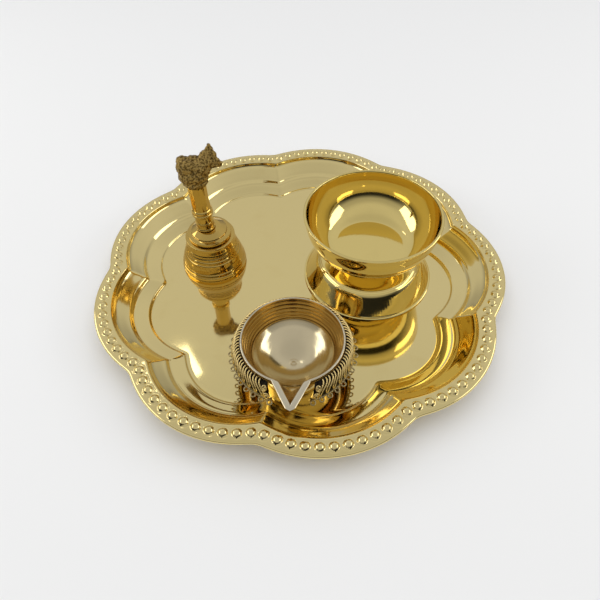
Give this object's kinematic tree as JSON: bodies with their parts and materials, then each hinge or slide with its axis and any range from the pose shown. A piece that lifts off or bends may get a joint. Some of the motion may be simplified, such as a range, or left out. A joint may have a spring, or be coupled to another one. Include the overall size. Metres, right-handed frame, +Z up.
{
  "type": "brass puja thali set",
  "caption": "Scalloped brass offering tray with a beaded rim that carries a spouted oil lamp with an openwork skirt, a footed cup and a hand bell with a cast finial.",
  "frame": {"origin": "on the ground, under the centre of the tray", "axes": "+Z up; -Y is the side that the lamp's spout faces; +X is the side that the cup stands on, the bell stands on -X"},
  "size_m": [0.1974, 0.1985, 0.0705],
  "materials": {
    "sheet_brass": "mirror-polished spun and pressed sheet",
    "turned_brass": "turned, pale, with fine tool lines",
    "antique_brass": "antiqued, black patina in the recesses",
    "cast_brass": "rough sand casting, dark in the pits",
    "bell_brass": "turned and polished, with tool lines"
  },
  "bodies": {
    "tray": {"thali_tray": "sheet_brass"},
    "cup": {"cup_bowl": "sheet_brass", "cup_foot": "sheet_brass"},
    "lamp": {"lamp_bowl": "turned_brass", "lamp_foot": "antique_brass", "lamp_skirt": "antique_brass"},
    "bell": {"bell_dome": "bell_brass", "bell_handle": "bell_brass", "bell_finial": "cast_brass", "bell_hanger": "bell_brass"},
    "link": {"clapper_link": "bell_brass"},
    "clapper": {"clapper": "bell_brass"}
  },
  "joints": [
    {"name": "cup_lift", "type": "slide", "parent": "tray", "child": "cup", "axis": [0, 0, 1], "range_m": [0, 0.12]},
    {"name": "lamp_lift", "type": "slide", "parent": "tray", "child": "lamp", "axis": [0, 0, 1], "range_m": [0, 0.12]},
    {"name": "bell_lift", "type": "slide", "parent": "tray", "child": "bell", "axis": [0, 0, 1], "range_m": [0, 0.12]},
    {"name": "link_swing", "type": "hinge", "parent": "bell", "child": "link", "pos_m": [-0.045, 0.017, 0.01805], "axis": [0, 1, 0], "range_deg": [-30, 30]},
    {"name": "clapper_swing", "type": "hinge", "parent": "link", "child": "clapper", "pos_m": [-0.045, 0.017, 0.01545], "axis": [1, 0, 0], "range_deg": [-40, 40]}
  ]
}
